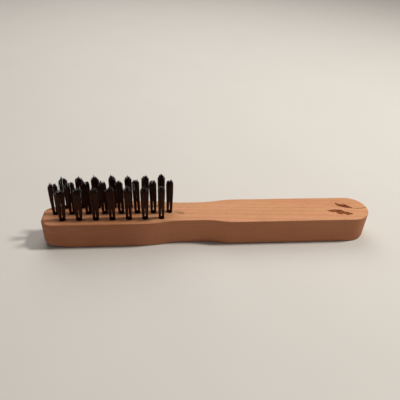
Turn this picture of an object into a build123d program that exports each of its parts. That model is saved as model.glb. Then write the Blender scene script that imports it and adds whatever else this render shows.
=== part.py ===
from build123d import *
import math
import os

# Hand wire brush: a sawn wooden board with a head, a waist and a grip, and staggered rows of
# steel wire tufts. Each tuft is a bunch of wires folded in half and driven into a blind hole
# by a short flat anchor, whose two ends bite into the wood and hold the fold down.
#
# Frame: the brush lies on its flat back with the wires up. The origin is the middle of the
# back face, +X runs towards the round end of the grip, and +Z is the way the wires point.

# Board
LENGTH = 290.0
BOARD_WIDTH = 33.5
THICKNESS = 25.0
WAIST_WIDTH = 26.5
WAIST_FROM = (-60.0, -25.0)  # X where the head starts to narrow, X where it is narrowest
WAIST_TO = (-9.0, 23.0)  # X where the waist starts to widen, X where the grip is full
HEAD_CORNER = 10.0
REAR_CUT = (28.0, 10.25)  # X and Y taken off the head's rear corner by a slanting cut
REAR_CUT_CORNERS = (6.0, 25.0)  # where the cut meets the head's end, where it meets the side
EDGE_EASE = 0.8

# Tuft pattern, seen from above
HEAD_MIDDLE_X = -85.0
TUFT_PITCH = 13.9
ROW_PITCH = 8.6
ROWS = {"front": (-ROW_PITCH, 7), "middle": (0.0, 8), "rear": (ROW_PITCH, 7)}

# Anchors and holes
HOLE_DIAMETER = 5.2
ANCHOR_THICKNESS = 1.2
ANCHOR_BITE = 0.45
ANCHOR_HEIGHT = 2.0
ANCHOR_DEPTH = 8.2
SEAT_GAP = 0.02

# Wires
WIRE = 0.5
WIRE_SPACING = 0.6
BRISTLE_HEIGHT = 33.5
UNEVENNESS = 3.2
TIP_OFFSET = 1.72
TIP_SPREAD_X = 1.9
TIP_SPREAD_Y = 1.5

HALF_LENGTH = LENGTH / 2
HALF_BOARD = BOARD_WIDTH / 2
HALF_WAIST = WAIST_WIDTH / 2
ANCHOR_TOP = THICKNESS - ANCHOR_DEPTH
ANCHOR_BOTTOM = ANCHOR_TOP - ANCHOR_HEIGHT
ANCHOR_LENGTH = HOLE_DIAMETER + 2 * ANCHOR_BITE

# A leg of the fold fills half of the round hole: columns of 4, 3 and 2 wires, closely packed,
# from the anchor outwards.
COLUMN_STEP = WIRE_SPACING * math.sqrt(3) / 2
LEG_COLUMNS = {-COLUMN_STEP: 4, 0.0: 3, COLUMN_STEP: 2}
WIRE_CORNER_RADIUS = WIRE / math.sqrt(3)
FOLD_OFFSET = ANCHOR_THICKNESS / 2 + SEAT_GAP + WIRE / 2 + COLUMN_STEP
FOLD_HEIGHT = ANCHOR_BOTTOM - SEAT_GAP - WIRE / 2 - COLUMN_STEP
HOLE_DEPTH = THICKNESS - (FOLD_HEIGHT - COLUMN_STEP - WIRE / 2 - 0.1)
GOLDEN_STEP = (math.sqrt(5) - 1) / 2


def tuft_places():
    """Name, X and Y of every tuft; the middle row stands half a pitch off its neighbours."""
    for row, (y, count) in ROWS.items():
        for n in range(count):
            x = HEAD_MIDDLE_X + (n - (count - 1) / 2) * TUFT_PITCH
            yield f"{row}_tuft_{n + 1}", x, y


def s_curve(start, end):
    """Two equal arcs that leave start and reach end along X."""
    middle = ((start[0] + end[0]) / 2, (start[1] + end[1]) / 2)
    first = TangentArc(start, middle, tangent=(1, 0))
    TangentArc(middle, end, tangent=first % 1)


def board_outline():
    """Half of the sawn plan outline, from the head's square end to the grip's round end."""
    corner = (-HALF_LENGTH, HALF_BOARD)
    head_end = (WAIST_FROM[0], HALF_BOARD)
    grip_start = (WAIST_TO[1], HALF_BOARD)
    round_start = (HALF_LENGTH - HALF_BOARD, HALF_BOARD)
    Line((-HALF_LENGTH, 0), corner)
    Line(corner, head_end)
    s_curve(head_end, (WAIST_FROM[1], HALF_WAIST))
    Line((WAIST_FROM[1], HALF_WAIST), (WAIST_TO[0], HALF_WAIST))
    s_curve((WAIST_TO[0], HALF_WAIST), grip_start)
    Line(grip_start, round_start)
    TangentArc(round_start, (HALF_LENGTH, 0), tangent=(1, 0))


def shape_head(plan):
    """Cuts the head's rear corner at a slant, then rounds the head's three corners."""
    cut_x, cut_y = REAR_CUT
    square = (-HALF_LENGTH, HALF_BOARD)
    on_side = (-HALF_LENGTH + cut_x, HALF_BOARD)
    on_end = (-HALF_LENGTH, HALF_BOARD - cut_y)
    with BuildSketch(mode=Mode.SUBTRACT):
        with BuildLine():
            Polyline(square, on_side, on_end, close=True)
        make_face()
    front = (-HALF_LENGTH, -HALF_BOARD)
    for place, radius in zip((front, on_end, on_side), (HEAD_CORNER, *REAR_CUT_CORNERS)):
        fillet(plan.vertices().sort_by_distance(place)[0], radius)


def make_anchor(x, y):
    """Short piece of flat steel, standing on edge across a hole with its ends in the wood."""
    with BuildPart() as anchor:
        with BuildSketch(Plane((x, y, ANCHOR_BOTTOM))):
            Rectangle(ANCHOR_THICKNESS, ANCHOR_LENGTH)
        extrude(amount=ANCHOR_HEIGHT)
    return anchor.part


def make_handle_block(anchors):
    """Board with eased edges, a blind hole for each tuft and a seat for each anchor."""
    with BuildPart() as block:
        with BuildSketch() as plan:
            with BuildLine():
                board_outline()
                mirror(about=Plane.XZ)
            make_face()
            shape_head(plan)
        extrude(amount=THICKNESS)
        flat_faces = block.faces().filter_by(Plane.XY)
        chamfer(flat_faces.edges(), EDGE_EASE)
        with Locations(*[(x, y, THICKNESS) for _, x, y in tuft_places()]):
            Hole(HOLE_DIAMETER / 2, depth=HOLE_DEPTH)
        add(anchors, mode=Mode.SUBTRACT)
    return block.part


def wire_places():
    """Offsets of a leg's wires from the leg's own middle, along X and Y."""
    for column, count in LEG_COLUMNS.items():
        for n in range(count):
            yield column, (n - (count - 1) / 2) * WIRE_SPACING


def tip_height(serial):
    """Height of a wire's cut end; no two neighbours are cut alike."""
    return THICKNESS + BRISTLE_HEIGHT - UNEVENNESS * (serial * GOLDEN_STEP % 1)


def wire_route(x, y, across, along, serial):
    """Corner points of one folded wire: tip, down to the fold, under the anchor, up to a tip."""
    tip_x = TIP_OFFSET + across * TIP_SPREAD_X
    tip_y = y + along * TIP_SPREAD_Y
    fold_x = FOLD_OFFSET + across
    fold_z = FOLD_HEIGHT - across
    return [
        (x - tip_x, tip_y, tip_height(serial)),
        (x - fold_x, y + along, fold_z),
        (x + fold_x, y + along, fold_z),
        (x + tip_x, tip_y, tip_height(serial + 3)),
    ]


def make_tuft(x, y, serial):
    """Folded wires as separate solids; a wire is drawn with six flats."""
    with BuildPart() as tuft:
        for wire, (across, along) in enumerate(wire_places()):
            with BuildLine() as route:
                Polyline(*wire_route(x, y, across, along, serial + wire))
            with BuildSketch(Plane(route.line @ 0, x_dir=(0, 1, 0), z_dir=route.line % 0)):
                RegularPolygon(WIRE_CORNER_RADIUS, 6)
            sweep(path=route.line, transition=Transition.RIGHT)
    return tuft.part


def write(part, label):
    part.label = label
    export_step(part, f"parts/{label}.step")


def main():
    os.makedirs("parts", exist_ok=True)
    anchors = []
    for serial, (name, x, y) in enumerate(tuft_places()):
        anchors.append(make_anchor(x, y))
        write(anchors[-1], name.replace("tuft", "anchor"))
        write(make_tuft(x, y, serial * 7), name)
    write(make_handle_block(anchors), "handle_block")


main()
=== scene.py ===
import math
import random

import bmesh
import bpy
from mathutils import Matrix, Vector, geometry, kdtree, noise


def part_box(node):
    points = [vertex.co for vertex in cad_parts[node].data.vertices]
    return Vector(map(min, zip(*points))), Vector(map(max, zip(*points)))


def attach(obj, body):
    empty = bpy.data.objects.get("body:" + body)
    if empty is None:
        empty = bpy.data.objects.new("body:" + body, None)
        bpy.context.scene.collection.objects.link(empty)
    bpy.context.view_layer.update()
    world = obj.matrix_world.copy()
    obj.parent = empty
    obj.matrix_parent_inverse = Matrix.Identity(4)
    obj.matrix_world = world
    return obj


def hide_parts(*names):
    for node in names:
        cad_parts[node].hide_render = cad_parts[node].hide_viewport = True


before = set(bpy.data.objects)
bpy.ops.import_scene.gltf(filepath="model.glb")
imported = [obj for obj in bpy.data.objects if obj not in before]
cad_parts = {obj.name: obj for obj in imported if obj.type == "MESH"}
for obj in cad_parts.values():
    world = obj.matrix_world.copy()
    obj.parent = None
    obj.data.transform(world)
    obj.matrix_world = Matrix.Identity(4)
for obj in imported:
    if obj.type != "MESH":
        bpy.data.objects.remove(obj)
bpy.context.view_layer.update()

# A hand wire brush, dressed for a render: a raw hardwood board with a torn, split grip end, and
# bunches of thin dark steel wires, each folded under its anchor. All lengths are in metres, in
# the frame's own axes: +X towards the grip's round end, +Z the way the wires point.

MM = 0.001

# ---------------------------------------------------------------- the board, as the CAD has it

BOARD_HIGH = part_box("handle_block")[1]
HALF_LENGTH = BOARD_HIGH.x
HALF_BOARD = BOARD_HIGH.y
THICKNESS = BOARD_HIGH.z
HALF_WAIST = 13.25 * MM
WAIST_FROM = (-60 * MM, -25 * MM)  # X where the head starts to narrow, X where it is narrowest
WAIST_TO = (-9 * MM, 23 * MM)  # X where the waist starts to widen, X where the grip is full
HEAD_CORNER = 10 * MM
REAR_CUT = (28 * MM, 10.25 * MM)  # X and Y taken off the head's rear corner by a slanting cut
REAR_CUT_CORNERS = (6 * MM, 25 * MM)  # where the cut meets the head's end, and the side

# ---------------------------------------------------------------- finish of the board

TOP_ROUND = 0.75 * MM
BOTTOM_ROUND = 1.6 * MM
ROUND_VARIES = 0.25 * MM
ROUND_VARIES_OVER = 20 * MM  # rough length of one swell of that unevenness
WORN_TOE = Vector((-143 * MM, -14 * MM))  # the underside is worn rounder at this corner
WORN_TOE_SIZE = 22 * MM
WORN_TOE_ROUND = 3.6 * MM
WORN_END_SIZE = 7 * MM  # the top edge is worn rounder this far from the head's end
WORN_END_ROUND = 1.5 * MM
SURFACE_WAVE = 0.05 * MM
WAVE_LENGTH = 60 * MM
WAVE_WIDTH = 12 * MM
EDGE_SHIFT = 0.3  # share of the side's inward shift that is left where it meets the top

# Steps of the board's mesh
OUTLINE_STEP = 1.3 * MM
SPLIT_ARC = (-6, 14)  # degrees of the round end where the split runs over it, in fine steps
GRID_STEP = 1.15 * MM
BOTTOM_GRID_STEP = 4 * MM
GRID_ROW = 0.87  # of a grid step between rows of points, which makes near equal triangles
GRID_FROM_EDGE = 0.4 * MM
GRID_FROM_HOLE = 0.35  # of a grid step
FINE_STEP = 0.24 * MM  # used round the tears
FINE_MARGIN = 0.7 * MM
FINE_FROM_X = 103 * MM
FINE_TO_Y = 11 * MM  # on both sides of the middle
EDGE_STEPS = 5
SIDE_STEPS = 6
WELD = 0.002 * MM
SHARP_ANGLE = 50  # degrees between faces that meet at a sharp edge

HOLE_RADIUS = 2.6 * MM
HOLE_DEPTH = 11.86 * MM
HOLE_POINTS = 36
HOLE_RIM_ROUND = 0.22 * MM
HOLE_RIM_STEPS = 3
HOLE_RAGGED = 0.07 * MM
RAGGED_FINENESS = 2.5  # higher gives more and smaller bumps round a rim
RAGGED_STEP = 3.7  # keeps one rim's bumps unlike the next one's
HOLE_WALL_RINGS = (0.3, 0.65, 1.0)  # shares of the hole's depth
DRILL_POINT = 0.4 * MM
DRILL_SHADE = 0.25 * MM  # depth over which painted shade darkens the wood inside a hole

# Torn knots and the split near the grip's round end, each as a line along its middle, on the
# top face: (x, y, half width, depth) in millimetres.
UPPER_TEAR = [
    (117.8, 8.4, 0.7, 0.3),
    (118.4, 6.0, 1.4, 0.6),
    (120.6, 4.4, 1.8, 0.7),
    (124.6, 3.5, 2.6, 0.9),
    (127.6, 1.9, 1.8, 0.7),
    (131.0, 0.3, 0.4, 0.4),
]
SPLIT = [
    (130.0, 0.5, 0.22, 0.4),
    (133.5, -0.5, 0.24, 0.35),
    (136.6, -0.7, 0.26, 0.4),
    (140.5, 0.0, 0.22, 0.4),
    (146.0, 1.2, 0.22, 0.6),
]
LOWER_TEAR = [
    (106.6, -2.7, 0.35, 0.1),
    (108.8, -3.3, 1.4, 0.4),
    (111.6, -3.5, 2.0, 0.5),
    (114.6, -2.9, 1.6, 0.4),
]
LOWER_KNOT = [
    (112.8, -3.6, 0.8, 0.2),
    (116.0, -4.7, 3.4, 0.35),
    (118.6, -5.4, 3.4, 0.45),
    (120.2, -6.0, 2.3, 0.3),
]
LOWER_PIT = [
    (121.9, -6.9, 1.8, 0.3),
    (123.5, -7.5, 2.6, 0.8),
    (124.9, -7.8, 1.9, 0.5),
    (128.0, -8.1, 0.8, 0.15),
]
TEARS = [UPPER_TEAR, SPLIT, LOWER_TEAR, LOWER_KNOT, LOWER_PIT]
TEAR_WALL = 0.5 * MM
TEAR_WIDTH_VARIES = 0.22
TEAR_DEPTH_VARIES = 0.4
TEAR_NICK = 0.9 * MM  # rough length of the nicks in a tear's rim
TORN_FIBRE = 0.4 * MM  # rough width of the torn fibres on its floor
TORN_LAYER = 7 * MM  # where the noise that shapes them is read
STAIN_FADE_FROM = 0.6  # of the wall's width inside a tear's rim
STAIN_PAST = 0.15 * MM  # how far the stain reaches past a tear
STAIN_DOWN = 3 * MM  # how far it reaches down the board's side
SPLIT_DROP = 14 * MM
SPLIT_FLARE = 1.3  # how much wider the split is where it runs over the edge
SPLIT_SIDE_DEPTH = 0.6  # how deep it is on the side, as a share of its depth on top

# The rub mark beside the last tuft, along a short line
SMUDGE_FROM = Vector((-30.5 * MM, -1.0 * MM))
SMUDGE_TO = Vector((-25.0 * MM, -2.6 * MM))
SMUDGE_SIZE = 2.7 * MM
SMUDGE_CORE = 0.3  # share of that size at full strength

TUFT_SHADE_SPAN = (-48 * MM, -78 * MM)  # X where the painted shade of the tufts on the head starts, X where it is full

# ---------------------------------------------------------------- the wires

WIRES = 36  # folded wires in a tuft
WIRE_RADIUS = 0.19 * MM
WIRE_SIDES = 7
LEG_STEPS = 9
FOLD_STEPS = 6
GOLDEN_STEP = (math.sqrt(5) - 1) / 2

# A leg's section is about half a disc, with its flat side towards the anchor. Distances along X
# from the tuft's middle to the leg's innermost and outermost wires, and along Y to its widest
# ones, each at the anchor, where the leg leaves the wood, and at the tips:
LEG_INNER = (0.83 * MM, 0.62 * MM, -0.20 * MM)
LEG_OUTER = (2.28 * MM, 2.36 * MM, 3.05 * MM)
LEG_HALF_WIDTH = (1.70 * MM, 1.45 * MM, 2.40 * MM)
LEG_SHAPE = 0.85  # below 1, more of the wires stand away from the flat side
SPREAD_BY = 0.75  # share of the free length over which a leg spreads and closes the gap
CLOSING_POWER = 1.15  # above 1, the gap closes late
OPENING_POWER = 0.75  # below 1, the outside spreads early
BOW = 0.16 * MM  # usual bow of a wire between its ends
STRAY = (0.0055, 0.008)  # usual slant of a single wire along X and Y
LEAN = 0.010  # usual slant of a whole tuft

FOLD_NESTING = 0.5  # an outer wire lies lower in the fold by this share of its reach
FOLD_CLEARANCE = 1.2  # wire radii from the anchor down to the innermost wire's middle
FOLD_ROUND = 1.1 * MM  # most that a fold rises from its lowest point to the legs

TIP_SPIKE = 1.8 * MM  # how far the wires of a tuft's point stand above the rest
SPIKE_SIZE = 0.38  # of a leg's size at the tips
SPIKE_OFF = 0.4  # furthest that the point is off the tuft's middle, in the same measure
TIP_DOME = 3.5 * MM  # how far the outermost wires are cut below the rest
DOME_POWER = 2.2
TIP_RANDOM = 1.3 * MM
TIP_RANDOM_POWER = 1.5  # above 1, few wires are cut much too short
ROW_GAP = 4 * MM  # holes further than this from the board's middle are in an outer row
OUTER_TOGETHER = (0.8, 1.0)  # 1: both legs share one rounded top, 0: each leg has its own
MIDDLE_TOGETHER = (0.2, 0.7)

# The tufts nearest the head's end are worn the most:
WORN_TIPS_FROM = -80 * MM
WORN_TIPS = 2.1 * MM  # they are shorter by this
WORN_APART = 0.4 * MM  # the gap between their legs is wider by twice this
WORN_WIDER = 1.0 * MM  # their legs reach this much further out
WORN_FLAT = 0.2  # they are thinner from front to rear by this share
WORN_LEAN = 0.05  # they slant this much away from the end

# ---------------------------------------------------------------- small helpers


def smooth(low, high, value):
    """0 below low, 1 above high, eased between them."""
    share = min(1.0, max(0.0, (value - low) / (high - low)))
    return share * share * (3 - 2 * share)


def mix(a, b, share):
    return a + (b - a) * share


def new_piece(name, mesh, material_slot, *nodes):
    """Puts a mesh in the scene as a piece of the brush that stands for these CAD nodes."""
    piece = bpy.data.objects.new(name, mesh)
    bpy.context.scene.collection.objects.link(piece)
    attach(piece, "root")
    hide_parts(*nodes)
    return piece


# ---------------------------------------------------------------- board outline


def s_curve(x, start, end):
    """Y at x on two equal arcs that leave start and reach end along X."""
    run, rise = end[0] - start[0], end[1] - start[1]
    radius = (run * run + rise * rise) / (4 * abs(rise))
    first_half = x < (start[0] + end[0]) / 2
    level_x, level_y = start if first_half else end
    lift = radius - math.sqrt(radius**2 - (x - level_x) ** 2)
    return level_y + math.copysign(lift, rise if first_half else -rise)


def half_width(x):
    """Half width of the board between its rounded head and its round end."""
    if WAIST_FROM[0] < x < WAIST_FROM[1]:
        return s_curve(x, (WAIST_FROM[0], HALF_BOARD), (WAIST_FROM[1], HALF_WAIST))
    if WAIST_FROM[1] <= x <= WAIST_TO[0]:
        return HALF_WAIST
    if WAIST_TO[0] < x < WAIST_TO[1]:
        return s_curve(x, (WAIST_TO[0], HALF_WAIST), (WAIST_TO[1], HALF_BOARD))
    return HALF_BOARD


def arc(centre, radius, start, end, step):
    """Points along an anticlockwise arc, in degrees, without its last point."""
    count = max(3, round(math.radians(end - start) * radius / step))
    for n in range(count):
        angle = math.radians(mix(start, end, n / count))
        yield centre + radius * Vector((math.cos(angle), math.sin(angle)))


def rounded_corner(before, corner, after, radius):
    """Points of the arc that rounds a left turn of the outline."""
    into, out = (corner - before).normalized(), (after - corner).normalized()
    start = math.degrees(math.atan2(into.y, into.x)) - 90
    turn = math.degrees(math.acos(into.dot(out)))
    reach = radius * math.tan(math.radians(turn / 2))
    centre = corner - into * reach + Vector((-into.y, into.x)) * radius
    return list(arc(centre, radius, start, start + turn, OUTLINE_STEP))


def straight(start, end):
    """Points along a straight stretch of the outline, without its last point."""
    count = max(1, round((end - start).length / OUTLINE_STEP))
    return [start.lerp(end, n / count) for n in range(count)]


def head_end():
    """Outline points round the head: down its slanting rear cut, its end and its front corner."""
    square = Vector((-HALF_LENGTH, HALF_BOARD))
    on_side = square + Vector((REAR_CUT[0], 0))
    on_end = square - Vector((0, REAR_CUT[1]))
    front = Vector((-HALF_LENGTH, -HALF_BOARD))
    ahead = front + Vector((HALF_LENGTH, 0))
    by_end, by_side = REAR_CUT_CORNERS
    first = rounded_corner(Vector((0, HALF_BOARD)), on_side, on_end, by_side)
    second = rounded_corner(on_side, on_end, front, by_end)
    third = rounded_corner(on_end, front, ahead, HEAD_CORNER)
    points = [*first, *straight(first[-1], second[0])[1:], *second]
    return [*points, *straight(second[-1], third[0])[1:], *third]


def board_outline():
    """The plan outline, anticlockwise seen from above, as [(point, outward normal)]."""
    round_x = HALF_LENGTH - HALF_BOARD
    middle = Vector((round_x, 0))
    head = head_end()
    front = straight(Vector((head[-1].x, 0)), middle)[1:]
    rear = straight(middle, Vector((head[0].x, 0)))
    points = [Vector((p.x, -half_width(p.x))) for p in front]
    points += arc(middle, HALF_BOARD, -90, SPLIT_ARC[0], OUTLINE_STEP)
    points += arc(middle, HALF_BOARD, *SPLIT_ARC, FINE_STEP)
    points += arc(middle, HALF_BOARD, SPLIT_ARC[1], 90, OUTLINE_STEP)
    points += [Vector((p.x, half_width(p.x))) for p in rear]
    points += head
    outline = []
    for n, point in enumerate(points):
        along = points[(n + 1) % len(points)] - points[n - 1]
        outline.append((point, Vector((along.y, -along.x)).normalized()))
    return outline


class Inside:
    """Tells how deep inside the outline a point lies; less than 0 is outside."""

    def __init__(self, outline):
        self.outline = outline
        self.tree = kdtree.KDTree(len(outline))
        for n, (point, _) in enumerate(outline):
            self.tree.insert(point.to_3d(), n)
        self.tree.balance()

    def __call__(self, point):
        _, n, _ = self.tree.find(point.to_3d())
        nearest, normal = self.outline[n]
        return (nearest - point).dot(normal)


# ---------------------------------------------------------------- damage to the board


def on_line(line, x, y):
    """Distance from (x, y) to a line of (x, y, half width, depth), and both values there."""
    best = (1.0, 0.0, 0.0)
    point = Vector((x, y))
    for (ax, ay, a_wide, a_deep), (bx, by, b_wide, b_deep) in zip(line, line[1:]):
        start, end = Vector((ax, ay)) * MM, Vector((bx, by)) * MM
        along = end - start
        share = min(1.0, max(0.0, (point - start).dot(along) / along.length_squared))
        distance = (start + along * share - point).length
        if distance < best[0]:
            best = (distance, mix(a_wide, b_wide, share) * MM, mix(a_deep, b_deep, share) * MM)
    return best


def tear_at(x, y):
    """Depth of the torn wood below the top face at (x, y), and how dark the tear is there."""
    depth = stain = 0.0
    for line in TEARS:
        distance, wide, deep = on_line(line, x, y)
        if distance > wide + FINE_MARGIN:
            continue
        wide *= 1 + TEAR_WIDTH_VARIES * noise.noise(Vector((x, y * 2, 0)) / TEAR_NICK)
        wall = min(TEAR_WALL, wide)
        inside = 1 - smooth(wide - wall, wide, distance)
        fibres = noise.noise(Vector((x / 3, y, TORN_LAYER)) / TORN_FIBRE)
        depth = max(depth, deep * inside * (1 + TEAR_DEPTH_VARIES * fibres))
        stain = max(stain, 1 - smooth(wide - wall * STAIN_FADE_FROM, wide + STAIN_PAST, distance))
    return depth, stain


def near_tear(x, y):
    nearest = (on_line(line, x, y) for line in TEARS)
    return any(distance < wide + FINE_MARGIN for distance, wide, _ in nearest)


def smudge_at(x, y):
    """Strength of the rub mark beside the last tuft."""
    along = SMUDGE_TO - SMUDGE_FROM
    point = Vector((x, y))
    share = min(1.0, max(0.0, (point - SMUDGE_FROM).dot(along) / along.length_squared))
    distance = (SMUDGE_FROM + along * share - point).length
    return 1 - smooth(SMUDGE_CORE * SMUDGE_SIZE, SMUDGE_SIZE, distance)


# ---------------------------------------------------------------- board mesh


def tuft_centres():
    """{tuft name: middle of its hole}, from the anchors, which stand across the holes."""
    centres = {}
    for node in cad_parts:
        if "_anchor_" in node:
            low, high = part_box(node)
            centres[node.replace("anchor", "tuft")] = Vector(((low + high) / 2)[:2])
    return dict(sorted(centres.items()))


def rim(centre, radius, seed):
    """Points round a drilled hole whose edge is slightly ragged."""
    points = []
    for n in range(HOLE_POINTS):
        angle = math.tau * n / HOLE_POINTS
        way = Vector((math.cos(angle), math.sin(angle)))
        ragged = noise.noise(Vector((*(way * RAGGED_FINENESS), seed * RAGGED_STEP)))
        points.append(centre + way * (radius + HOLE_RAGGED * ragged))
    return points


def edge_round(point, top):
    """How far the top or the bottom edge is rounded over at a place on the outline."""
    uneven = ROUND_VARIES * noise.noise(Vector((point.x, point.y, 0)) / ROUND_VARIES_OVER)
    if top:
        end = 1 - smooth(0.2 * WORN_END_SIZE, WORN_END_SIZE, point.x + HALF_LENGTH)
        return TOP_ROUND + uneven + WORN_END_ROUND * end
    toe = 1 - smooth(0.3 * WORN_TOE_SIZE, WORN_TOE_SIZE, (point - WORN_TOE).length)
    return BOTTOM_ROUND + uneven + WORN_TOE_ROUND * toe


def wave(place):
    """Slight unevenness of sanded wood, long along the grain."""
    long_grain = Vector((place.x / WAVE_LENGTH, place.y / WAVE_WIDTH, place.z / WAVE_WIDTH))
    return SURFACE_WAVE * noise.noise(long_grain)


def shell_rings(outline):
    """Closed rings of points from the top face's edge, over the side, to the bottom's edge."""
    profile = [("top", n / EDGE_STEPS) for n in range(EDGE_STEPS + 1)]
    profile += [("side", n / SIDE_STEPS) for n in range(1, SIDE_STEPS)]
    profile += [("bottom", n / EDGE_STEPS) for n in range(EDGE_STEPS + 1)]
    rings = []
    for part, share in profile:
        ring = []
        for point, normal in outline:
            top, bottom = edge_round(point, True), edge_round(point, False)
            turn = share * math.pi / 2
            if part == "top":
                inset, z = top * (1 - math.sin(turn)), THICKNESS - top * (1 - math.cos(turn))
            elif part == "side":
                inset, z = 0, mix(THICKNESS - top, bottom, share)
            else:
                inset, z = bottom * (1 - math.cos(turn)), bottom * (1 - math.sin(turn))
            ring.append((point, normal, inset, z))
        rings.append(ring)
    return rings


def shell_place(point, normal, inset, z):
    """A shell point with the surface's waves and the split's notch in the round end."""
    place = (point - normal * inset).to_3d()
    place.z = z
    on_side = 1 - smooth(THICKNESS - TOP_ROUND, THICKNESS, z)
    inward = SURFACE_WAVE + wave(place)
    if point.x > 0:
        distance, wide, deep = on_line(SPLIT, point.x, point.y)
        fade = 1 - smooth(0, SPLIT_DROP, THICKNESS - z)
        notch = deep * (1 - smooth(0, wide * SPLIT_FLARE, distance)) * fade
        place.z -= notch * (1 - on_side)
        inward += notch * SPLIT_SIDE_DEPTH * on_side
    flat = Vector((normal.x, normal.y, 0))
    return place - flat * inward * mix(EDGE_SHIFT, 1, on_side)


def cap_points(inside, holes, top):
    """Grid points of the top or bottom face, clear of edge and holes, finer round the tears."""
    step = GRID_STEP if top else BOTTOM_GRID_STEP
    points = []
    for column in range(int(-HALF_LENGTH / step), int(HALF_LENGTH / step) + 1):
        for row in range(int(-HALF_BOARD / step) - 1, int(HALF_BOARD / step) + 2):
            points.append(Vector((column + 0.5 * (row % 2), row * GRID_ROW)) * step)
    if top:
        points = [p for p in points if p.x < 0 or not near_tear(p.x, p.y)]
        for column in range(int(FINE_FROM_X / FINE_STEP), int(HALF_LENGTH / FINE_STEP)):
            for row in range(int(-FINE_TO_Y / FINE_STEP), int(FINE_TO_Y / FINE_STEP)):
                spot = Vector((column + 0.5 * (row % 2), row)) * FINE_STEP
                if near_tear(spot.x, spot.y):
                    points.append(spot)
    from_hole = HOLE_RADIUS + HOLE_RIM_ROUND + GRID_FROM_HOLE * step
    clear = [p for p in points if inside(p) > edge_round(p, top) + GRID_FROM_EDGE]
    return [p for p in clear if all((p - hole).length > from_hole for hole in holes)]


def cap_faces(border, inside, holes, top):
    """Triangles that fill a border ring round the holes, as (points, faces)."""
    points = list(border)
    edges = [(n, (n + 1) % len(border)) for n in range(len(border))]
    for number, centre in enumerate(holes):
        first = len(points)
        points += rim(centre, HOLE_RADIUS + HOLE_RIM_ROUND, number)
        edges += [(first + n, first + (n + 1) % HOLE_POINTS) for n in range(HOLE_POINTS)]
    points += cap_points(inside, holes, top)
    made, _, faces, *_ = geometry.delaunay_2d_cdt(points, edges, [], 0, 1e-9)
    kept = []
    for face in faces:
        middle = sum((made[n] for n in face), Vector((0, 0))) / 3
        in_hole = any((middle - centre).length < HOLE_RADIUS for centre in holes)
        if not in_hole and inside(middle) > 0.5 * edge_round(middle, top):
            kept.append(face)
    return made, kept


def add_cap(shape, border, inside, top, holes=()):
    """Fills the board's top or bottom face; its edge meets the shell's border ring."""
    made, faces = cap_faces([p.to_2d() for p in border], inside, holes, top)
    vertices = []
    for n, point in enumerate(made):
        if n < len(border):
            place = border[n].copy()
        elif top:
            place = Vector((point.x, point.y, THICKNESS))
            place.z += wave(place) - SURFACE_WAVE
            if point.x > 0:
                place.z -= tear_at(point.x, point.y)[0]
        else:
            place = Vector((point.x, point.y, 0))
        vertices.append(shape.verts.new(place))
    for face in faces:
        corners = [vertices[n] for n in face]
        normal = (corners[1].co - corners[0].co).cross(corners[2].co - corners[0].co)
        if (normal.z < 0) == top:
            corners.reverse()
        shape.faces.new(corners)


def add_hole(shape, centre, seed):
    """Rounded rim, drilled wall and a cone left by the drill's point."""
    rings = []
    for n in range(HOLE_RIM_STEPS + 1):
        turn = n / HOLE_RIM_STEPS * math.pi / 2
        radius = HOLE_RADIUS + HOLE_RIM_ROUND * (1 - math.sin(turn))
        drop = HOLE_RIM_ROUND * (1 - math.cos(turn))
        rings.append((radius, THICKNESS - drop))
    rings += [(HOLE_RADIUS, THICKNESS - HOLE_DEPTH * share) for share in HOLE_WALL_RINGS]
    previous = None
    for radius, z in rings:
        ring = []
        for point in rim(centre, radius, seed):
            place = Vector((point.x, point.y, z))
            if previous is None:  # the rim meets the wavy top face
                place.z += wave(place) - SURFACE_WAVE
            ring.append(shape.verts.new(place))
        if previous:
            for n in range(HOLE_POINTS):
                after = (n + 1) % HOLE_POINTS
                shape.faces.new((previous[n], previous[after], ring[after], ring[n]))
        previous = ring
    bottom = shape.verts.new((centre.x, centre.y, THICKNESS - HOLE_DEPTH - DRILL_POINT))
    for n in range(HOLE_POINTS):
        shape.faces.new((previous[n], previous[(n + 1) % HOLE_POINTS], bottom))


def paint(mesh, holes):
    """Writes on each vertex how torn or smudged the wood is there, and the painted shade inside
    the holes, for the shader.
    """
    torn = mesh.attributes.new("torn", "FLOAT", "POINT").data
    smudge = mesh.attributes.new("smudge", "FLOAT", "POINT").data
    drilled = mesh.attributes.new("drilled", "FLOAT", "POINT").data
    for vertex in mesh.vertices:
        x, y, z = vertex.co
        if z > THICKNESS - STAIN_DOWN and x > FINE_FROM_X:
            torn[vertex.index].value = tear_at(x, y)[1]
        if z > THICKNESS - TOP_ROUND:
            smudge[vertex.index].value = smudge_at(x, y)
        # drilled holds painted shade: the wood darkens from a hole's rim downwards
        nearest = min((vertex.co.to_2d() - hole).length for hole in holes)
        if nearest < HOLE_RADIUS + HOLE_RAGGED and z > THICKNESS / 3:
            drilled[vertex.index].value = smooth(0, DRILL_SHADE, THICKNESS - z)


def make_board():
    outline = board_outline()
    shape = bmesh.new()
    rings = []
    for ring in shell_rings(outline):
        rings.append([shell_place(*row) for row in ring])
    grid = [[shape.verts.new(place) for place in ring] for ring in rings]
    for upper, lower in zip(grid, grid[1:]):
        for n in range(len(outline)):
            after = (n + 1) % len(outline)
            shape.faces.new((upper[n], lower[n], lower[after], upper[after]))
    holes = list(tuft_centres().values())
    inside = Inside(outline)
    add_cap(shape, rings[0], inside, True, holes)
    add_cap(shape, rings[-1], inside, False)
    for seed, centre in enumerate(holes):
        add_hole(shape, centre, seed)
    bmesh.ops.remove_doubles(shape, verts=shape.verts, dist=WELD)
    bmesh.ops.recalc_face_normals(shape, faces=shape.faces)
    mesh = bpy.data.meshes.new("board")
    shape.to_mesh(mesh)
    shape.free()
    mesh.shade_smooth()
    mesh.set_sharp_from_angle(angle=math.radians(SHARP_ANGLE))
    paint(mesh, holes)
    return new_piece("board", mesh, "wood", "handle_block")


# ---------------------------------------------------------------- tufts


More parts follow.
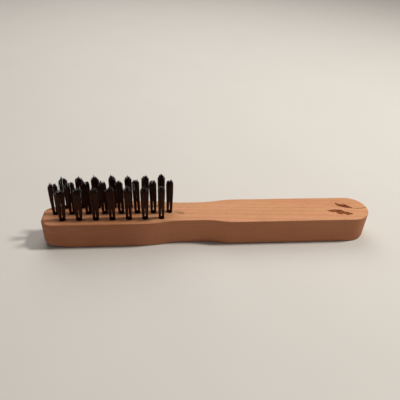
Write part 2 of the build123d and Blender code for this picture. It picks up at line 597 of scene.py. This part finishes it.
def leg_places():
    """Places of a leg's wires on about half a disc of radius 1, as (out from the flat, along)."""
    for n in range(WIRES):
        radius = math.sqrt((n + 0.5) / WIRES)
        angle = (n * GOLDEN_STEP % 1 - 0.5) * math.pi
        yield (radius * math.cos(angle)) ** LEG_SHAPE, radius * math.sin(angle)


def free_line(rng, foot, side, centre, tip_z, lean, worn):
    """Points of a wire from the hole's mouth to its tip."""
    free = tip_z - THICKNESS
    bow_way = rng.uniform(0, math.tau)
    bow = abs(rng.gauss(0, BOW))
    slant = Vector((rng.gauss(0, STRAY[0]), rng.gauss(0, STRAY[1]))) + lean
    points = []
    for n in range(LEG_STEPS + 1):
        share = n / LEG_STEPS
        spread = min(1, share / SPREAD_BY)
        closing, opening = spread**CLOSING_POWER, spread**OPENING_POWER
        inner = mix(LEG_INNER[1], LEG_INNER[2] + WORN_APART * worn, closing)
        outer = mix(LEG_OUTER[1], LEG_OUTER[2] + WORN_WIDER * worn, opening)
        half = mix(LEG_HALF_WIDTH[1], LEG_HALF_WIDTH[2], share) * (1 - WORN_FLAT * worn)
        bend = bow * math.sin(share * math.pi)
        x, y = side * mix(inner, outer, foot[0]), foot[1] * half
        x += bend * math.cos(bow_way) + slant.x * share * free
        y += bend * math.sin(bow_way) + slant.y * share * free
        points.append(Vector((centre.x + x, centre.y + y, THICKNESS + share * free)))
    return points


def fold_line(foot, centre, anchor_low):
    """Points of a wire inside its hole, from one leg, under the anchor, to the other."""
    reach = mix(LEG_INNER[0], LEG_OUTER[0], foot[0])
    y = foot[1] * LEG_HALF_WIDTH[0]
    nested = (reach - LEG_INNER[0]) * FOLD_NESTING
    lowest = anchor_low - WIRE_RADIUS * FOLD_CLEARANCE - nested
    points = []
    for n in range(FOLD_STEPS + 1):
        angle = math.pi * (1 + n / FOLD_STEPS)
        z = lowest + (1 + math.sin(angle)) * min(reach, FOLD_ROUND)
        points.append(Vector((centre.x + reach * math.cos(angle), centre.y + y, z)))
    return points


def add_wire(shape, line):
    """A round wire along a line that stays near a plane of constant Y, cut off square."""
    rings = []
    for n, place in enumerate(line):
        along = (line[min(n + 1, len(line) - 1)] - line[max(n - 1, 0)]).normalized()
        across = Vector((0, 1, 0)) - along * along.y
        across.normalize()
        up = along.cross(across)
        ring = []
        for side in range(WIRE_SIDES):
            angle = math.tau * side / WIRE_SIDES
            offset = across * math.cos(angle) + up * math.sin(angle)
            ring.append(shape.verts.new(place + offset * WIRE_RADIUS))
        rings.append(ring)
    for first, second in zip(rings, rings[1:]):
        for side in range(WIRE_SIDES):
            after = (side + 1) % WIRE_SIDES
            face = shape.faces.new((first[side], second[side], second[after], first[after]))
            face.smooth = True
    for ring in (rings[0][::-1], rings[-1]):
        shape.faces.new(ring).material_index = 1


def tip_drop(rng, foot, side, togetherness, spike):
    """How far a cut end is below the tuft's point: most round the outside of its bunch."""
    out, along = foot
    in_leg = math.hypot(2 * out - 1, along)
    in_tuft = math.hypot(out, along)
    from_spike = math.hypot(side * out - spike.x, along - spike.y)
    point = TIP_SPIKE * smooth(0, SPIKE_SIZE, from_spike)
    dome = TIP_DOME * min(1, mix(in_leg, in_tuft, togetherness)) ** DOME_POWER
    return point + dome + TIP_RANDOM * rng.random() ** TIP_RANDOM_POWER


def make_tuft(name, centre, seed):
    """A bunch of folded wires: down one leg, under the anchor, and up the other leg."""
    rng = random.Random(seed)
    worn = 1 - smooth(-HALF_LENGTH, WORN_TIPS_FROM, centre.x)
    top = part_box(name)[1].z - WORN_TIPS * worn
    anchor_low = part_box(name.replace("tuft", "anchor"))[0].z
    lean = Vector((rng.gauss(0, LEAN) + WORN_LEAN * worn, rng.gauss(0, LEAN)))
    outer_row = abs(centre.y) > ROW_GAP
    togetherness = rng.uniform(*(OUTER_TOGETHER if outer_row else MIDDLE_TOGETHER))
    spike = Vector((rng.uniform(-SPIKE_OFF, SPIKE_OFF), rng.uniform(-SPIKE_OFF, SPIKE_OFF)))
    ends = [(foot, side) for foot in leg_places() for side in (-1, 1)]
    drops = [tip_drop(rng, foot, side, togetherness, spike) for foot, side in ends]
    shape = bmesh.new()
    legs = []
    for (foot, side), drop in zip(ends, drops):
        tip = top - drop + min(drops)
        legs.append(free_line(rng, foot, side, centre, tip, lean, worn))
        if side == 1:
            line = legs[-2][::-1] + fold_line(foot, centre, anchor_low) + legs[-1]
            add_wire(shape, line)
    mesh = bpy.data.meshes.new(name)
    shape.to_mesh(mesh)
    shape.free()
    return new_piece(name.replace("tuft", "wires"), mesh, "wire", name)


# ---------------------------------------------------------------- shaders


class Shader:
    """A material with a Principled shader, and short ways to add nodes to it."""

    def __init__(self, name, **settings):
        self.material = bpy.data.materials.new(name)
        self.material.use_nodes = True
        self.tree = self.material.node_tree
        self.surface = self.tree.nodes["Principled BSDF"]
        for socket, value in settings.items():
            self.surface.inputs[socket.replace("_", " ")].default_value = value
        self.place = self.tree.nodes.new("ShaderNodeTexCoord").outputs["Object"]

    def node(self, kind, values=None, **settings):
        made = self.tree.nodes.new(kind)
        for key, value in settings.items():
            setattr(made, key, value)
        for key, value in (values or {}).items():
            if isinstance(value, bpy.types.NodeSocket):
                self.tree.links.new(value, made.inputs[key])
            else:
                made.inputs[key].default_value = value
        return made

    def scaled(self, x, y, z):
        """The place on the object with each axis multiplied, so that patterns stretch."""
        values = {0: self.place, 1: (x, y, z)}
        return self.node("ShaderNodeVectorMath", values, operation="MULTIPLY").outputs[0]

    def noise(self, vector, detail=3.0, roughness=0.5, distortion=0.0):
        values = {"Vector": vector, "Scale": 1.0, "Detail": detail}
        values |= {"Roughness": roughness, "Distortion": distortion}
        return self.node("ShaderNodeTexNoise", values).outputs["Fac"]

    def math(self, operation, a, b=0.0, c=0.0, clamp=False):
        values = {0: a, 1: b, 2: c}
        return self.node("ShaderNodeMath", values, operation=operation, use_clamp=clamp).outputs[0]

    def between(self, value, low, high, to_low=0.0, to_high=1.0):
        values = {"Value": value, "From Min": low, "From Max": high}
        values |= {"To Min": to_low, "To Max": to_high}
        ranged = self.node("ShaderNodeMapRange", values, interpolation_type="SMOOTHSTEP")
        return ranged.outputs["Result"]

    def mix(self, share, a, b):
        mixed = self.node("ShaderNodeMix", data_type="RGBA")
        for key, value in ((0, share), (6, a), (7, b)):
            if isinstance(value, bpy.types.NodeSocket):
                self.tree.links.new(value, mixed.inputs[key])
            else:
                mixed.inputs[key].default_value = value
        return mixed.outputs[2]

    def attribute(self, name):
        return self.node("ShaderNodeAttribute", attribute_name=name).outputs["Fac"]

    def bump(self, heights):
        """Adds bumps, given as (height socket, strength, distance), one on the other."""
        normal = None
        for height, strength, distance in heights:
            values = {"Height": height, "Strength": strength, "Distance": distance}
            if normal:
                values["Normal"] = normal
            normal = self.node("ShaderNodeBump", values).outputs["Normal"]
        self.tree.links.new(normal, self.surface.inputs["Normal"])

    def use(self, socket, value):
        self.tree.links.new(value, self.surface.inputs[socket])


def rgb(red, green, blue):
    """A colour given as it looks on screen, 0 to 255, as linear numbers with alpha."""
    linear = []
    for value in (red, green, blue):
        share = value / 255
        linear.append(share / 12.92 if share <= 0.04045 else ((share + 0.055) / 1.055) ** 2.4)
    return (*linear, 1.0)


PALE_WOOD = rgb(214, 157, 116)
TAN_WOOD = rgb(202, 143, 100)
YELLOW_WOOD = rgb(207, 153, 101)
PINK_WOOD = rgb(213, 143, 111)
LATE_WOOD = rgb(182, 121, 79)
DARK_FIBRE = rgb(170, 112, 74)
FLECK = rgb(150, 92, 56)
PORE = rgb(140, 88, 54)
END_GRAIN = rgb(168, 112, 70)
# painted shade with a warm bounce tint, for the sides
SHADED_SIDE_WOOD = rgb(176, 98, 60)
HANDLED_WOOD = rgb(160, 104, 68)
# painted shade of the tufts on the head's top
TUFT_SHADED_WOOD = rgb(158, 94, 60)
RUBBED_WOOD = rgb(138, 100, 56)
TORN_DARK = rgb(100, 42, 10)
TORN_LIGHT = rgb(154, 88, 34)
# painted shade inside the holes
HOLE_SHADE_WOOD = rgb(52, 27, 15)

BROWN_STEEL = rgb(68, 47, 38)
RUSTY_STEEL = rgb(72, 39, 24)
GREY_STREAK = rgb(86, 76, 76)
CUT_DULL = rgb(64, 60, 64)
CUT_BRIGHT = rgb(118, 116, 122)
STRIP_DULL = rgb(120, 118, 116)
STRIP_BRIGHT = rgb(156, 154, 152)

FLOOR_DARK = rgb(214, 211, 206)
FLOOR_LIGHT = rgb(219, 216, 211)


def grain(wood, along, across, **settings):
    """Noise drawn out along the board, with about so many features per metre each way."""
    return wood.noise(wood.scaled(along, across, across), **settings)


PITH = (-31 * MM, -40 * MM)  # Y and Z of the tree's middle, outside the board
RING_STEP = 2.6 * MM
RING_DRIFT = 12 * MM  # how far slow noise moves the rings sideways
RING_SLOPE = 0.02  # how much they rise along X


def late_wood(wood, x, y, z):
    """Share of dark late wood: the last part of each growth ring, seen as bands along X."""
    drift = grain(wood, 6, 30, detail=2)
    ring_y = wood.math("MULTIPLY_ADD", drift, RING_DRIFT, wood.math("ADD", y, -PITH[0]))
    ring_z = wood.math("MULTIPLY_ADD", x, RING_SLOPE, wood.math("ADD", z, -PITH[1]))
    square = wood.math("MULTIPLY_ADD", ring_y, ring_y, wood.math("MULTIPLY", ring_z, ring_z))
    from_pith = wood.math("SQRT", square)
    ring = wood.math("FRACT", wood.math("MULTIPLY", from_pith, 1 / RING_STEP))
    return wood.between(ring, 0.55, 1.0)


def clean_colour(wood, late, fibres, fleck, pores):
    """Colour of clean wood: pale, with tan, yellow and pink patches, bands and flecks."""
    tone = grain(wood, 9, 70)
    hue = grain(wood, 14, 120, detail=2, distortion=0.4)
    colour = wood.mix(wood.between(tone, 0.3, 0.7), PALE_WOOD, TAN_WOOD)
    colour = wood.mix(wood.between(hue, 0.45, 0.75, 0, 0.55), colour, YELLOW_WOOD)
    colour = wood.mix(wood.between(hue, 0.55, 0.25, 0, 0.5), colour, PINK_WOOD)
    colour = wood.mix(wood.math("MULTIPLY", late, 0.40), colour, LATE_WOOD)
    colour = wood.mix(wood.between(fibres, 0.45, 0.75, 0, 0.35), colour, DARK_FIBRE)
    colour = wood.mix(wood.math("MULTIPLY", fleck, 0.55), colour, FLECK)
    return wood.mix(wood.math("MULTIPLY", pores, 0.35), colour, PORE)


def cut_colour(wood, colour):
    """Darkens the end grain at both ends, and paints shade with a warm bounce tint on the sawn
    sides.
    """
    normal = wood.node("ShaderNodeNewGeometry").outputs["Normal"]
    facing = wood.node("ShaderNodeSeparateXYZ", {0: normal})
    facing_end = wood.math("ABSOLUTE", facing.outputs[0])
    facing_up = wood.math("ABSOLUTE", facing.outputs[2])
    colour = wood.mix(wood.between(facing_end, 0.55, 0.98, 0, 0.45), colour, END_GRAIN)
    # painted shade: faces that turn away from the top get darker, redder wood
    return wood.mix(wood.between(facing_up, 0.7, 0.2, 0, 0.5), colour, SHADED_SIDE_WOOD)


def used_colour(wood, colour, x):
    """Adds grime from hands, painted shade of the tufts over the head, and the rub mark beside the
    last one.
    """
    grime = wood.noise(wood.scaled(40, 90, 60), detail=5, roughness=0.6)
    handled = wood.between(grime, 0.5, 0.8)
    colour = wood.mix(wood.math("MULTIPLY", handled, 0.28), colour, HANDLED_WOOD)

    # painted shade: the head's top turns darker in patches towards its end, where the tufts shade
    # it
    uneven = grain(wood, 60, 160, detail=4, roughness=0.6)
    tuft_shade = wood.between(x, *TUFT_SHADE_SPAN, 0, 0.6)
    tuft_shade = wood.math("MULTIPLY", tuft_shade, wood.between(uneven, 0.2, 0.65, 0.5, 1))
    colour = wood.mix(tuft_shade, colour, TUFT_SHADED_WOOD)

    patchy = wood.between(grain(wood, 250, 600, detail=4), 0.25, 0.5)
    smudge = wood.math("MULTIPLY", wood.attribute("smudge"), patchy)
    return wood.mix(wood.math("MULTIPLY", smudge, 0.8), colour, RUBBED_WOOD)


def torn_colour(wood, colour, torn):
    """Adds the dark, ragged colour of the torn wood."""
    shreds = grain(wood, 260, 1500, detail=4, roughness=0.65)
    dark = wood.mix(wood.between(shreds, 0.35, 0.7), TORN_DARK, TORN_LIGHT)
    ragged = wood.math("MULTIPLY_ADD", wood.math("SUBTRACT", shreds, 0.5), 0.7, torn)
    return wood.mix(wood.between(ragged, 0.25, 0.65), colour, dark)


def wood_material():
    """Raw sanded beech: growth rings along X, short dark flecks, fine pores, stained tears."""
    wood = Shader("raw_beech", Specular_IOR_Level=0.32)
    x, y, z = wood.node("ShaderNodeSeparateXYZ", {0: wood.place}).outputs
    late = late_wood(wood, x, y, z)
    fibres = grain(wood, 90, 2600, detail=4, roughness=0.6)
    fleck = wood.between(grain(wood, 330, 2600, detail=1), 0.63, 0.72)
    pores = wood.between(grain(wood, 900, 9000, detail=1), 0.60, 0.72)
    torn = wood.attribute("torn")

    colour = clean_colour(wood, late, fibres, fleck, pores)
    colour = cut_colour(wood, colour)
    colour = used_colour(wood, colour, x)
    colour = torn_colour(wood, colour, torn)
    # painted shade inside the holes, from the drilled attribute
    wood.use("Base Color", wood.mix(wood.attribute("drilled"), colour, HOLE_SHADE_WOOD))

    rough = wood.math("MULTIPLY_ADD", fibres, 0.18, 0.52)
    wood.use("Roughness", wood.math("MULTIPLY_ADD", torn, 0.2, rough, clamp=True))
    wood.bump([
        (late, 0.12, 0.05 * MM),
        (fibres, 0.35, 0.06 * MM),
        (fleck, -0.4, 0.04 * MM),
        (pores, -0.4, 0.04 * MM),
    ])
    return wood.material


def wire_material():
    """Dark oiled spring steel with patches of brown oxide and grey streaks along it."""
    steel = Shader("dark_wire", Metallic=0.95)
    patches = steel.noise(steel.scaled(260, 260, 90), detail=4, roughness=0.6)
    streaks = steel.noise(steel.scaled(3000, 3000, 160), detail=3)
    colour = steel.mix(steel.between(patches, 0.38, 0.68), BROWN_STEEL, RUSTY_STEEL)
    colour = steel.mix(steel.between(streaks, 0.6, 0.8, 0, 0.4), colour, GREY_STREAK)
    steel.use("Base Color", colour)
    steel.use("Roughness", steel.math("MULTIPLY_ADD", patches, 0.3, 0.32))
    steel.bump([(streaks, 0.25, 0.01 * MM)])
    return steel.material


def cut_end_material():
    """Duller and brighter bare steel where the wires were cut to length."""
    steel = Shader("cut_wire", Metallic=1.0)
    marks = steel.noise(steel.scaled(4000, 1200, 1200), detail=2)
    steel.use("Base Color", steel.mix(marks, CUT_DULL, CUT_BRIGHT))
    steel.use("Roughness", steel.math("MULTIPLY_ADD", marks, 0.25, 0.25))
    return steel.material


def anchor_material():
    """Flat grey strip steel, sheared to length, with rolling marks along it."""
    steel = Shader("anchor_strip", Metallic=1.0)
    rolled = steel.noise(steel.scaled(2500, 200, 2500), detail=4)
    steel.use("Base Color", steel.mix(steel.between(rolled, 0.35, 0.7), STRIP_DULL, STRIP_BRIGHT))
    steel.use("Roughness", steel.math("MULTIPLY_ADD", rolled, 0.3, 0.25))
    steel.bump([(rolled, 0.2, 0.01 * MM)])
    return steel.material


def floor_material():
    """Matt pale paper, very slightly mottled."""
    paper = Shader("pale_floor", Roughness=0.8, Specular_IOR_Level=0.2)
    mottle = paper.noise(paper.scaled(12, 12, 12), detail=4)
    paper.use("Base Color", paper.mix(mottle, FLOOR_DARK, FLOOR_LIGHT))
    return paper.material


# ---------------------------------------------------------------- stage, light, camera

FLOOR_RADIUS = 4.0
FLOOR_DROP = 0.02 * MM  # keeps the floor clear of the board's flat back

# Lights, each with its place, diameter, power in watts and colour
KEY_LIGHT = ((0.70, 0.07, 1.15), 0.16, 12, (1.0, 0.95, 0.88))
OVERHEAD_LIGHT = ((-0.15, 0.75, 1.05), 1.2, 7.5, (1.0, 0.96, 0.92))
SURROUND_COLOUR = (1.0, 0.96, 0.92, 1)
SURROUND_STRENGTH = 0.13


def make_floor():
    mesh = bpy.data.meshes.new("floor")
    shape = bmesh.new()
    bmesh.ops.create_circle(shape, cap_ends=True, segments=96, radius=FLOOR_RADIUS)
    shape.to_mesh(mesh)
    shape.free()
    floor = bpy.data.objects.new("floor", mesh)
    floor.location.z = -FLOOR_DROP
    floor.data.materials.append(floor_material())
    bpy.context.scene.collection.objects.link(floor)


def add_light(name, place, size, power, colour):
    light = bpy.data.lights.new(name, "AREA")
    light.shape = "DISK"
    light.size = size
    light.energy = power
    light.color = colour
    lamp = bpy.data.objects.new(name, light)
    lamp.location = place
    lamp.rotation_euler = (-Vector(place)).to_track_quat("-Z", "Y").to_euler()
    bpy.context.scene.collection.objects.link(lamp)


def make_lights():
    """A key from the right, a wide soft light overhead and behind, and a faint surround."""
    add_light("key", *KEY_LIGHT)
    add_light("overhead", *OVERHEAD_LIGHT)
    world = bpy.data.worlds.new("surround")
    bpy.context.scene.world = world
    world.use_nodes = True
    background = world.node_tree.nodes["Background"]
    background.inputs["Color"].default_value = SURROUND_COLOUR
    background.inputs["Strength"].default_value = SURROUND_STRENGTH


CAMERA_PLACE = (-43.67 * MM, -301.51 * MM, 255.83 * MM)
CAMERA_DOWN = 35.827  # degrees below the horizon
CAMERA_HEADING = 6.424  # degrees from +Y towards +X
CAMERA_ROLL = 2.899  # degrees; the camera leans to its left
CAMERA_LENS = 38.7  # millimetres
CAMERA_SENSOR = 36  # millimetres wide


def make_camera():
    camera = bpy.data.cameras.new("camera")
    camera.sensor_width = CAMERA_SENSOR
    camera.lens = CAMERA_LENS
    camera.clip_start, camera.clip_end = 0.01, 20
    holder = bpy.data.objects.new("camera", camera)
    turn = (
        Matrix.Rotation(math.radians(-CAMERA_HEADING), 4, "Z")
        @ Matrix.Rotation(math.radians(90 - CAMERA_DOWN), 4, "X")
        @ Matrix.Rotation(math.radians(CAMERA_ROLL), 4, "Z")
    )
    holder.matrix_world = Matrix.Translation(CAMERA_PLACE) @ turn
    bpy.context.scene.collection.objects.link(holder)
    bpy.context.scene.camera = holder


# ---------------------------------------------------------------- the brush


def make_brush():
    board = make_board()
    board.data.materials.append(wood_material())
    wire, cut_end = wire_material(), cut_end_material()
    for seed, (name, centre) in enumerate(tuft_centres().items()):
        tuft = make_tuft(name, centre, seed)
        tuft.data.materials.append(wire)
        tuft.data.materials.append(cut_end)
    strip = anchor_material()
    for name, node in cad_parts.items():
        if "_anchor_" in name:
            for slot in node.material_slots:
                slot.material = strip


make_brush()
make_floor()
make_lights()
make_camera()
bpy.context.scene.view_settings.view_transform = "Standard"
